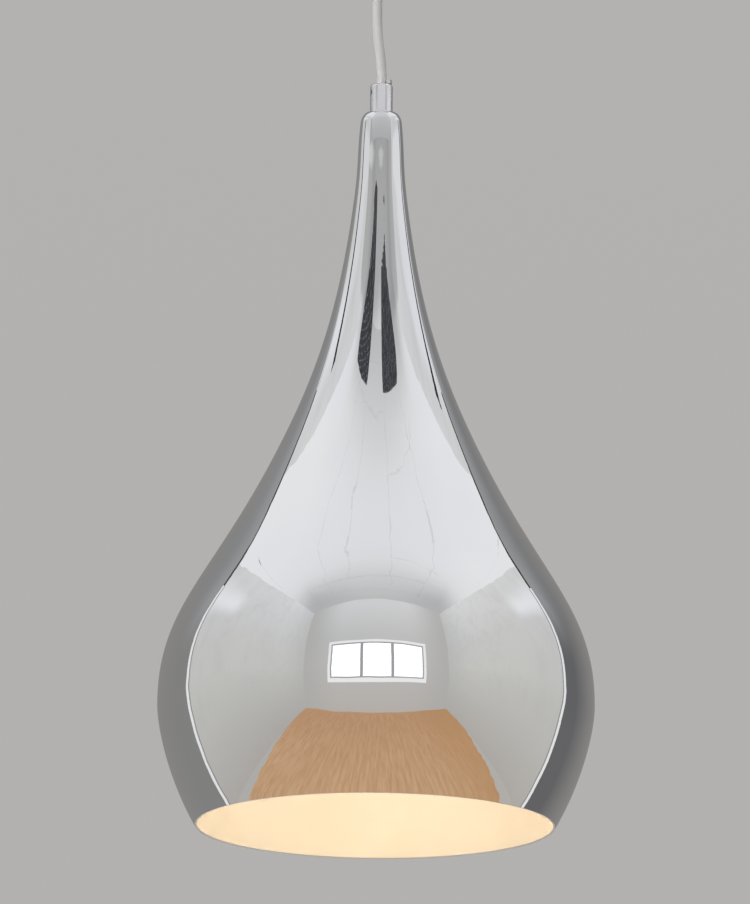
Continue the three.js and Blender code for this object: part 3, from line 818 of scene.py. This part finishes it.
def ceiling_cores():
    """Brown, blue and earth cores from the flex to the terminals and the earth screw."""
    live = [(1.2, 0.9, -13.9), (2.2, 3, -11), (4, 7, -8.2), (5, 11, -7.1), (5, 18, TERMINAL_Z)]
    earth = [(0, -1.4, -13.9), (-0.6, -2.2, -10.5), (-2, -1.6, -6.4), (-4, -0.2, -3.8),
             (-5.6, 0, -3.4), (-7.5, 0, -3.4), (-9.4, 0, -3.4)]
    routes = {"live": [(-x, y, z) for x, y, z in live], "neutral": live, "earth": earth}
    for name, places in routes.items():
        node = "ceiling_core_" + name
        route = smooth_route(places, 0.6)
        bare = next(i for i, place in enumerate(route) if (place - route[-1]).length < 3)
        core(node, route[: bare + 1])
        extra(node + "_strands", stranded(route[bare - 1:], 0.72), "ceiling_rose", "brass")


def stranded(route, radius):
    """Bare twisted wires along a route."""
    wires = []
    for start in range(0, 360, 60):
        wire = []
        for i, place in enumerate(route):
            along = direction(route, i)
            spot = along.orthogonal().normalized() * radius * 0.66
            spot.rotate(Matrix.Rotation(math.radians(start + 25 * i), 3, along))
            wire.append(place + spot)
        wires.append(wire)
    return sweep(wires, radius / 3, 8)


# ---------------------------------------------------------------- lamp neck
def lamp_grip():
    """The satin cord grip on top of the shade, with its nylon insert and grub screw."""
    bottom, top, hole, floor = SHADE_TOP + 0.03, high("cord_grip").z, 5.3, below(-8)
    profile = [(hole, bottom), (GRIP_RADIUS - 0.3, bottom), (GRIP_RADIUS, bottom + 0.3),
               *arc(GRIP_RADIUS - 1.5, top - 1.5, 1.5, 0, 90, 8), (GRIP_BORE + 0.35, top),
               (GRIP_BORE, top - 0.35), (GRIP_BORE, floor), (hole, floor)]
    screw = (low("grip_screw") + high("grip_screw")) / 2
    drill = rod_along("x", GRUB_HOLE, -9, -2, 0, 0, 0)
    shift(drill, z=screw.z, turn=math.degrees(math.atan2(-screw.y, -screw.x)))
    stand_for("cord_grip", carve(lathe(profile, 96), drill))
    grub_screw("grip_screw")

    start, end = span("grip_insert")
    sleeve, foot, stem, spread = lathe(ring_profile(3.1, 4.1, start, top, 0.3), 64), top + 0.3, top - 1, 34
    tab = arc(0, 0, 5.75, -spread, spread, 16) + arc(0, 0, 3.5, spread, -spread, 16)
    stalk = arc(0, 0, 4.05, -spread, spread, 12) + arc(0, 0, 3.25, spread, -spread, 12)
    tab = shift(plate([tab], end - foot, 0.4), z=(end + foot) / 2)
    stalk = shift(plate([stalk], end - stem, 0.1), z=(end + stem) / 2 - 0.1)
    stand_for("grip_insert", combine(sleeve, stalk, tab))


def neck_fixings():
    """The threaded tube through the shade's top, with its washer and nuts."""
    bottom, top = span("threaded_tube")
    profile = [(3.6, bottom), (4.5, bottom), (5, bottom + 0.5), (5, top - 0.5), (4.5, top), (3.6, top)]
    thread = Thread(5, 0.5, METRIC_PITCH, bottom + 0.5, top - 0.5)
    stand_for("threaded_tube", lathe(profile, 48, [thread]))

    def teeth(r, z, turn):
        return r - 0.5 * (math.cos(12 * turn) > 0.3) * (r > 7)

    stand_for("neck_washer", lathe(ring_profile(5.3, 7.6, *span("neck_washer"), 0.2), 144, ribs=teeth))
    hex_nut("neck_nut", 13)
    hex_nut("holder_locknut", 14)


# ---------------------------------------------------------------- lampholder
def holder():
    """Cap, body and shade ring of the lampholder, in white moulded plastic."""
    radius, joint, wall, top, bottom = HOLDER_RADIUS, HOLDER_JOINT, 1.7, 111, 170
    cap = [(radius - wall, joint), (radius, joint), (radius, top + 13), (radius - 1.6, top + 7),
           (radius - 5.5, top + 2.6), (9, top), (5.3, top), (5.3, top + wall), (9, top + wall),
           (radius - 6.4, top + 4), (radius - 3, top + 7.8), (radius - wall, top + 13)]

    def flutes(r, z, turn):
        return r - 0.25 * (math.cos(40 * turn) > 0.6) * (r > radius - 0.1 and z < below(top + 14.5))

    stand_for("holder_cap", lathe(at(soften(cap, 1.4, steps=6)), 240, ribs=flutes))
    start, root = joint + 0.3, radius - 0.7
    body = [(root - 1.6, bottom), (root, bottom), (root, start + 14), (radius + 2.4, start + 14),
            (radius + 2.4, start + 12), (radius, start + 10.5), (radius, start), (radius - wall, start),
            (root - 1.6, start + 6)]
    body = [(root if abs(r - root) < 1e-3 else r, depth) for r, depth in soften(body, 0.5)]
    thread = Thread(root, 0.45, 2.5, below(bottom), below(start + 14), rounded=True)
    stand_for("holder_body", lathe(at(body), 120, [thread]))
    inner, top = radius - 0.4, joint + 14.6
    ring = [(inner, top + 7), (inner + 2, top + 7), (inner + 2, top + 2), (inner + 5, top + 2),
            (inner + 5, top), (inner, top)]

    def knurls(r, z, turn):
        return r - 0.4 * (math.cos(36 * turn) > 0.2) * (r > inner + 4.6)

    stand_for("holder_ring", lathe(at(soften(ring, 0.4)), 288, ribs=knurls))


def contacts():
    """The ceramic block with its sprung centre contact, side contact, screw shell and cores."""
    joint = HOLDER_JOINT
    disc = soften([(0, joint), (16.4, joint), (16.4, 127), (14.6, 125.4), (0, 125.4)], 0.5)
    recess = [(7.5, joint - 0.8), (12.5, joint - 0.8), (12.5, joint + 1), (7.5, joint + 1)]
    holes = [rod_along("z", 1.4, below(131), below(120), x, 0, 0) for x in (-7, 7)]
    stand_for("contact_block", carve(lathe(at(disc), 96), lathe(at(recess), 72), *holes))
    spring = [(-5, -0.6), (0, -3), (5, -3), (5, -2.5), (0.2, -2.5), (-4.8, 0), (-8, 0), (-8, -0.6)]
    bracket = [(9.4, 0), (12.6, 0), (12.6, -5), (12.1, -5), (12.1, -0.6), (9.4, -0.6)]
    for node, outline, rounding in (("centre_contact", spring, 0.3), ("side_contact", bracket, 0.25)):
        strip = shift(plate([flat(outline, rounding)], 4, 0.08), turn=90, axis="X")
        stand_for(node, shift(strip, z=below(joint + 0.3)))
    (bottom, top), inner, outer = span("screw_shell"), 13.6, 14.1
    profile = [(inner, bottom), (outer, bottom), (outer, bottom + 1), (outer, top - 2), (outer, top),
               (inner, top), (inner, top - 2), (inner, bottom + 1)]
    threads = [Thread(r, 0.6, EDISON_PITCH, bottom + 1, top - 2, rounded=True) for r in (inner, outer)]
    stand_for("screw_shell", lathe(profile, 96, threads))
    places = [(1.3, 118.4), (1.7, 120), (4.2, 121.9), (6.7, 124), (7, 126.5), (7, 129)]
    for name, hand in (("live", -1), ("neutral", 1)):
        core("holder_core_" + name, smooth_route([(hand * x, 0, z) for x, z in at(places)], 0.6))


# ---------------------------------------------------------------- bulb
def bulb():
    """An opal globe bulb on a rounded-thread cap, with its tip, insulator, stem and filament."""
    tip, cap_top, cap_radius, neck, radius, bottom, glass = 139.8, 144, 12.9, 168, 30, 248, 1
    outside = arc(0, bottom - radius, radius, 90, -24, 48)
    outside += bezier(outside[-1], (22.6, 196.4), (14.6, 190.5), (13.6, 178), 16) + [(13.2, neck + 0.3)]
    inside = [(max(0, r), depth) for r, depth in inset(outside, -glass)]
    inside[0] = (0, bottom - glass)
    stand_for("bulb_globe", lathe(at(outside + inside[::-1]), 128, smooth_angle=60))

    thread_end, groove = cap_top + 3.5, cap_radius - 0.4
    threads = [Thread(r, 0.75, EDISON_PITCH, below(neck - 2), below(thread_end), rounded=True)
               for r in (cap_radius, groove)]
    cap = [(groove, neck), (cap_radius, neck), (cap_radius, neck - 2), (cap_radius, thread_end),
           (groove, cap_top + 2), (9.6, cap_top), (6.2, cap_top), (6.2, cap_top + 0.4), (9.4, cap_top + 0.4),
           (cap_radius - 0.8, cap_top + 2.3), (groove, thread_end), (groove, neck - 2)]
    stand_for("bulb_cap", lathe(at(cap), 96, threads))
    insulator = [(2, cap_top - 0.3), (9, cap_top - 0.3), (6.2, tip + 1.6), (2, tip + 1.6)]
    stand_for("bulb_insulator", lathe(at(soften(insulator, 0.6)), 96))
    button = [(0, tip + 1.3), (4.4, tip + 1.3), (3.8, tip + 0.4), (2.2, tip), (0, tip)]
    stand_for("bulb_tip", lathe(at(soften(button, 0.5, closed=False)), 64))
    stem = [(0, 206), (1.6, 205), (2, 190), (5, 180), (9, 173), (9, 171.5), (0, 171.5)]
    stand_for("bulb_stem", lathe(at(soften(stem, 2, closed=False, steps=6)), 64))
    support = [(-14, 0, 214), (-9, 5, 211), (0, 8, 209), (9, 5, 211), (14, 0, 214)]
    coil, coil_radius = [], 0.35
    for i, place in enumerate(smooth_route([(x, y, below(depth)) for x, y, depth in support], 0.15)):
        side, up = coil_radius * math.cos(1.1 * i), coil_radius * math.sin(1.1 * i)
        coil.append(place + Vector((side * 0.3, side, up)))
    stand_for("bulb_filament", sweep([coil], 0.1, 8))


# ---------------------------------------------------------------- surroundings
# The chrome mirrors a pale room of stage cards that only glossy rays see. Places in the room are shares of
# its depth, from the lamp's belly to the window wall in front.
ROOM_DEPTH = 2.0
ROOM_CENTRE = Vector((0, 0, -0.45))
WINDOW_WALL, BACKDROP, ROOM_FLOOR, ROOM_CEILING = -1.0, 0.46, -0.362, 1.183
WINDOW = {"left": -0.417, "right": 0.434, "bottom": -0.052, "top": 0.352, "frame": 0.043, "reveal": 0.016}
MULLIONS, MULLION_WIDTH = (-0.132, 0.144), 0.027
PANE_GLOW = (1.35, 1.36, 1.38, 1)


def in_room(spots):
    """Places in millimetres as shares of the room."""
    return [tuple((Vector(spot) * MM - ROOM_CENTRE) / ROOM_DEPTH) for spot in spots]


def millimetres(x, y, z):
    """Places in the room, within its nodes, as millimetres in the row frame."""
    return x * (ROOM_DEPTH / MM), y * (ROOM_DEPTH / MM), z * (ROOM_DEPTH / MM) + ROOM_CENTRE.z / MM


def stage_card(name, corners, colour, cover=None):
    """A self-lit card. Its colour is a tone or a function, and cover says how much of it is there."""
    mesh = bpy.data.meshes.new(name)
    mesh.from_pydata(corners, [], [list(range(len(corners)))])
    card = linked(name, mesh)
    card.location = ROOM_CENTRE
    card.scale = (ROOM_DEPTH, ROOM_DEPTH, ROOM_DEPTH)
    material = bpy.data.materials.new(name)
    material.use_nodes = True
    material.cycles.emission_sampling = "NONE"
    tree = material.node_tree
    tree.nodes.remove(tree.nodes["Principled BSDF"])
    place = split(tree, tree.nodes.new("ShaderNodeTexCoord").outputs["Object"])
    glow = tree.nodes.new("ShaderNodeEmission")
    plug(tree, colour(tree, *place) if callable(colour) else linear(*colour), glow.inputs["Color"])
    see_through(tree, 1 - cover(*place) if cover else 0.0, glow)
    mesh.materials.append(material)
    for rays in ("camera", "diffuse", "transmission", "volume_scatter", "shadow"):
        setattr(card, "visible_" + rays, False)


def see_through(tree, share, shader):
    """Ends a material with a shader that lets a share of the light pass."""
    blend = tree.nodes.new("ShaderNodeMixShader")
    plug(tree, share, blend.inputs[0])
    tree.links.new(shader.outputs[0], blend.inputs[1])
    tree.links.new(tree.nodes.new("ShaderNodeBsdfTransparent").outputs[0], blend.inputs[2])
    tree.links.new(blend.outputs[0], tree.nodes["Material Output"].inputs["Surface"])


def ragged(tree, x, y, z, scale, reach):
    """A small random shift, up to half of reach each way."""
    return (noise(tree, merge(tree, x, y, z), scale, 4, 0.65) - 0.5) * reach


def ceiling_tone(tree, x, y, z):
    """A pale ceiling with painted shading: lighter over the lamp, darker towards the window wall and in its
    front corners, with a few thin joints.
    """
    tone = ramp(y, -1.0, 0.5, [(-1.0, (192, 192, 191)), (-0.8, (200, 200, 199)), (-0.6, (210, 210, 210)),
                               (-0.42, (225, 225, 225)), (-0.3, (228, 229, 230)), (0.0, (232, 233, 234))])
    # Painted shade: the ceiling darkens to a grey in its front corners.
    corner = abs(x).ease(0.1, 0.8) * (y * -1).ease(0.5, 1.0)
    tone = mix(tree, corner, tone, linear(181, 181, 181))
    wander = ragged(tree, x, y, z, 5, 0.16)
    joints = None
    across_room = ((-0.84, -0.55, 0.6), (-0.62, -0.6, 0.1), (-0.41, 0.1, 0.6))
    along_room = ((-0.50, -0.8, 0.2), (-0.27, -0.6, -0.1), (0.12, -0.75, -0.2), (0.47, -0.9, 0.1))
    for along, across, width, spans in ((x, y, 0.005, across_room), (y, x, 0.006, along_room)):
        for place, start, end in spans:
            joint = (across + wander).within(place, place + width) * along.within(start, end)
            joints = joints + joint if joints else joint
    return mix(tree, joints * 0.2, tone, linear(130, 130, 132))


def cloth_tone(tree, x, y, z):
    """Grey backdrop cloth: darker low on the right, and lighter at its edges near the ceiling."""
    low_down = ramp(x, -0.65, 0.65, [(-0.6, (133, 132, 130)), (0.1, (138, 136, 134)), (0.3, (129, 127, 125)),
                                     (0.6, (101, 101, 102))])
    high_up = ramp(x, -0.65, 0.65, [(-0.6, (152, 153, 154)), (-0.4, (136, 138, 139)),
                                    (0.35, (125, 127, 129)), (0.6, (150, 151, 152))])
    return mix(tree, z.ease(0.2, 0.55), low_down, high_up)


def window_wall_tone(tree, x, y, z):
    """Three bright panes between grey mullions, in a pale frame over a sill, under a bowed ceiling."""
    wall = ramp(z, -0.4, 1.2, [(-0.36, (184, 178, 171)), (-0.1, (187, 185, 182)), (0.45, (194, 194, 193)),
                               (0.70, (203, 203, 202)), (1.0, (211, 211, 211))])
    # Painted shade: the wall darkens towards its ends, in the corners with the side walls.
    wall = mix(tree, abs(x).ease(0.3, 0.75) * 0.8, wall, linear(175, 174, 171))
    left, right, bottom, top = (WINDOW[side] for side in ("left", "right", "bottom", "top"))
    for part, sill, tone in (("frame", 0.02, (236, 236, 234)), ("reveal", 0, (158, 159, 160))):
        margin = WINDOW[part]
        area = x.within(left - margin, right + margin) * z.within(bottom - margin - sill, top + margin)
        wall = mix(tree, area, wall, linear(*tone))
    starts = (left, *(place + MULLION_WIDTH / 2 for place in MULLIONS))
    ends = (*(place - MULLION_WIDTH / 2 for place in MULLIONS), right)
    for start, end in zip(starts, ends):
        wall = mix(tree, x.within(start, end) * z.within(bottom, top), wall, PANE_GLOW)
    bow = x * x * 0.243 + z
    return mix(tree, bow.above(1.123), wall, ceiling_tone(tree, x, y, z))


def side_wall_tone(tree, x, y, z):
    """A pale wall under a sloping ceiling. At its back is the cloth, past a white strip or a dark gap."""
    wall = ramp(z, -0.4, 1.2, [(-0.36, (176, 171, 165)), (-0.12, (189, 188, 183)), (0.15, (199, 199, 195)),
                               (0.36, (202, 202, 200)), (0.48, (207, 207, 206)), (0.77, (216, 216, 216)),
                               (1.18, (226, 226, 226))])
    stains = noise(tree, merge(tree, x * 2, y * 3, z * 2), 4, 6, 0.65).ease(0.4, 0.75) * 0.3
    wall = mix(tree, stains, wall, linear(183, 183, 177))
    # Painted shade: the wall darkens towards the window wall, in the front corners.
    wall = mix(tree, (y * -1).ease(0.5, 1.05) * 0.55, wall, linear(176, 176, 174))
    glare = z.ease(0.39, 0.50) * (z * -1).ease(-0.66, -0.50) * y.ease(-0.05, 0.1)
    wall = mix(tree, glare, wall, linear(229, 230, 232))
    slope = z + y * 0.22 + ragged(tree, x, y, z, 9, 0.03)
    wall = mix(tree, slope.above(0.757), wall, ceiling_tone(tree, x, y, z))
    edge = y - (z * z * 0.2 + z * 0.13) + ragged(tree, x, 0, z, 8, 0.02)
    upper = z.above(0.57)
    wall = mix(tree, edge.within(0.236, 0.248) * upper.under(0.5), wall, linear(140, 140, 141))
    strip = mix(tree, upper, linear(232, 232, 231), linear(62, 61, 60))
    wall = mix(tree, edge.above(0.248), wall, strip)
    return mix(tree, edge.above(0.276), wall, cloth_tone(tree, x, y, z))


def floor_tone(tree, x, y, z):
    """Wooden planks that run towards the window, between two pale ragged margins."""
    planks = noise(tree, merge(tree, x * 16, y * 1.8, 0), 4, 7, 0.7).ease(0.3, 0.7)
    far = mix(tree, planks, linear(178, 139, 105), linear(192, 154, 120))
    near = mix(tree, planks, linear(187, 147, 109), linear(205, 169, 133))
    wood = mix(tree, y.ease(-0.9, -0.2), far, near)
    wood = mix(tree, x.ease(0.25, 0.6) * 0.6, wood, linear(180, 138, 98))
    margin = abs(x) + y * 0.24 + ragged(tree, x * 2, y * 2, 0, 5, 0.06)
    return mix(tree, margin.above(0.575), wood, linear(181, 178, 172))


def studio_room():
    """The room widens towards the window."""
    front, back = (0.655 - 0.112 * y for y in (WINDOW_WALL, BACKDROP))

    def upright(name, x0, y0, x1, y1, tone):
        stage_card(name, [(x0, y0, ROOM_FLOOR), (x1, y1, ROOM_FLOOR), (x1, y1, ROOM_CEILING),
                          (x0, y0, ROOM_CEILING)], tone)

    upright("window_wall", -front, WINDOW_WALL, front, WINDOW_WALL, window_wall_tone)
    upright("left_wall", -front, WINDOW_WALL, -back, BACKDROP, side_wall_tone)
    upright("right_wall", front, WINDOW_WALL, back, BACKDROP, side_wall_tone)
    upright("backdrop", -back, BACKDROP, back, BACKDROP, cloth_tone)
    for name, z, tone in (("ceiling", ROOM_CEILING, ceiling_tone), ("floor", ROOM_FLOOR, floor_tone)):
        stage_card("room_" + name, [(-front, WINDOW_WALL, z), (front, WINDOW_WALL, z), (back, BACKDROP, z),
                                    (-back, BACKDROP, z)], tone)


# A soft grey gobo and two dark leaf-shaped nets lean out from the belly, which sees them edge on, so that
# only the neck mirrors them. Places on the leaning plane are millimetres across and up along it.
LEAN = math.radians(65)
LEAN_FOOT = Vector((0, -110, -400))
# Each net is a leaf: a tip, two curved edges that leave it, and a short straight far end.
LEFT_NET = {"tip": [(-110, 392), (-70, 396)], "outer": [(-310, 490), (-560, 960), (-865, 1610)],
            "inner": [(-130, 560), (-160, 780), (-280, 1180)]}
RIGHT_NET = {"tip": [(80, 400), (19, 400)], "outer": [(210, 470), (400, 860), (580, 1610)],
             "inner": [(30, 540), (50, 800), (80, 1080)]}


def leaf(tip, outer, inner, steps=12):
    """The outline of a net, from its tip along the outer edge and back along the inner one."""
    return tip[:1] + bezier(tip[0], *outer, steps) + bezier(tip[1], *inner, steps)[::-1] + tip[1:]


def leaning(points, ahead):
    """Places on the leaning plane, or a little in front of it, as places in the room."""
    out, up = Vector((0, -math.cos(LEAN), math.sin(LEAN))), Vector((0, math.sin(LEAN), math.cos(LEAN)))
    return in_room(LEAN_FOOT + Vector((across, 0, 0)) + out * along + up * ahead for across, along in points)


def gobo_cover(x, y, z):
    """The gobo is where the middle of the neck looks, with soft sides, and fades upwards."""
    across, depth, height = millimetres(x, y, z)
    along = (height - LEAN_FOOT.z) * (1 / math.sin(LEAN))
    sideways = across / (depth * -1)
    spread = (along - 375) * 0.0085
    cover = (sideways + spread.least(1.2)).ease(-0.72, -0.5) * (sideways * -1).ease(-1.5, -1.25)
    cover = cover * (along + abs(across) * 0.1).ease(358, 371)
    return cover * ((along - abs(across) * 0.55) * -1).ease(-485, -385) * 0.5


def net_tone(tree, x, y, z):
    """Dark netting with thin lighter threads in both directions."""
    sideways = (x / (y * -1)).math("ARCTANGENT")
    upwards = ((z - 0.1) / (y * -1)).math("ARCTANGENT")
    wavy = ragged(tree, sideways, upwards, 0, 30, 0.02)
    rows = (upwards + sideways * 0.4 + wavy).math("PINGPONG", 0.013).above(0.0108)
    columns = (sideways + wavy).math("PINGPONG", 0.03).above(0.027)
    worn = noise(tree, merge(tree, sideways, upwards, 0), 24, 2).ease(0.35, 0.6)
    return mix(tree, (rows + columns).least(1) * worn * 0.6, linear(58, 59, 62), linear(140, 141, 143))


def gobo_and_nets():
    gobo = leaning([(-900, 300), (900, 300), (900, 900), (-900, 900)], -8.5)
    stage_card("gobo", gobo, (128, 128, 128), gobo_cover)
    stage_card("left_net", leaning(leaf(**LEFT_NET), -7.5), net_tone)
    stage_card("right_net", leaning(leaf(**RIGHT_NET), -6.9), net_tone)


def near_tone(tree, x, y, z):
    return ramp(millimetres(x, y, z)[2], -150, -96, [
        (-148, (176, 176, 176)), (-142, (181, 182, 182)), (-135, (194, 195, 196)), (-131, (206, 206, 207)),
        (-97, (206, 206, 207))])


def near_cover(x, y, z):
    return (abs(x * (ROOM_DEPTH / MM)) * -1).ease(-18.5, -16.5)


def glow_cover(x, y, z):
    """The pale cards beside the neck fade upwards, and at their front edge."""
    _, depth, height = millimetres(x, y, z)
    return (height * -1).ease(-16, 28) * depth.ease(-227, -190) * 0.85


def near_cards():
    """Small cards close to the lamp: pale ones for the shoulder and the grip, and at each side a pale one
    and a thin dark one that only the neck mirrors, as the belly sees them edge on."""
    folds = ((-25, -148), (-18, -133), (-18, -100), (-3.2, -97))
    for name, half, start, end in zip(("shoulder", "grip", "lid"), (19, 13, 15), folds, folds[1:]):
        corners = [(-half, *start), (half, *start), (half, *end), (-half, *end)]
        stage_card(name + "_card", in_room(corners), near_tone, near_cover)
    foot, head = (325, -77), (430, 53)
    for name, side, edge, tone in (("left", -1, 32, (216, 218, 220)), ("right", 1, 120, (224, 225, 228))):
        for kind, start, end, paint, cover in (("_glow", -227, edge, tone, glow_cover),
                                               ("_line", edge + 2, edge + 30, (48, 49, 52), None)):
            ends = ((foot, start), (foot, end), (head, end), (head, start))
            corners = [(side * x, y, z) for (x, z), y in ends]
            stage_card(name + kind, in_room(corners), paint, cover)


def studio_world():
    """A plain pale grey for everything that looks past the stage."""
    world = bpy.data.worlds.new("studio")
    SCENE.world = world
    world.use_nodes = True
    tree = world.node_tree
    height = split(tree, tree.nodes.new("ShaderNodeTexCoord").outputs["Generated"])[2]
    plain = ramp(height, -1, 1, [(-0.9, (182, 180, 178)), (0.2, (178, 177, 175)), (0.9, (190, 190, 189))])
    plug(tree, plain, tree.nodes["Background"].inputs["Color"])


def studio_floor():
    """A plain pale floor well under the lamp. It lets through what looks at it from beneath."""
    radius, height = 12.0, -2.2
    rim = [(x, y, height) for x, y in polygon(96, radius)]
    mesh = bpy.data.meshes.new("floor")
    mesh.from_pydata(rim, [], [list(range(len(rim)))])
    made = Finish("floor_paint", ((3,), (196, 195, 193), (204, 203, 201)), ((40,), 0.6, 0.75))
    tree = made.tree
    x, y, _ = split(tree, made.place)
    beneath = Wire(tree, tree.nodes.new("ShaderNodeNewGeometry").outputs["Backfacing"])
    hidden = (x * x + y * y).math("SQRT").ease(3, radius - 0.5).math("MAXIMUM", beneath)
    see_through(tree, hidden, made.shader)
    mesh.materials.append(made.material)
    floor = linked("floor", mesh)
    floor.visible_glossy = False


def soft_light():
    """One broad soft light from above the camera, which the chrome doesn't show."""
    data = bpy.data.lights.new("softbox", "AREA")
    data.shape, data.size, data.energy = "DISK", 2.6, 110
    light = linked("softbox", data)
    light.location = (-2.2, -3.2, 1.8)
    light.rotation_euler = (Vector((0, 0, -0.3)) - light.location).to_track_quat("-Z", "Y").to_euler()
    light.visible_glossy = light.visible_camera = False


aim_camera()
flex()
shade()
lamp_grip()
neck_fixings()
holder()
contacts()
bulb()
ceiling_bracket()
canopy_cover()
small_screws()
terminal_block()
earth_eyelet()
ceiling_grip()
ceiling_cores()
studio_room()
gobo_and_nets()
near_cards()
studio_world()
studio_floor()
soft_light()
SCENE.view_settings.view_transform = "Standard"
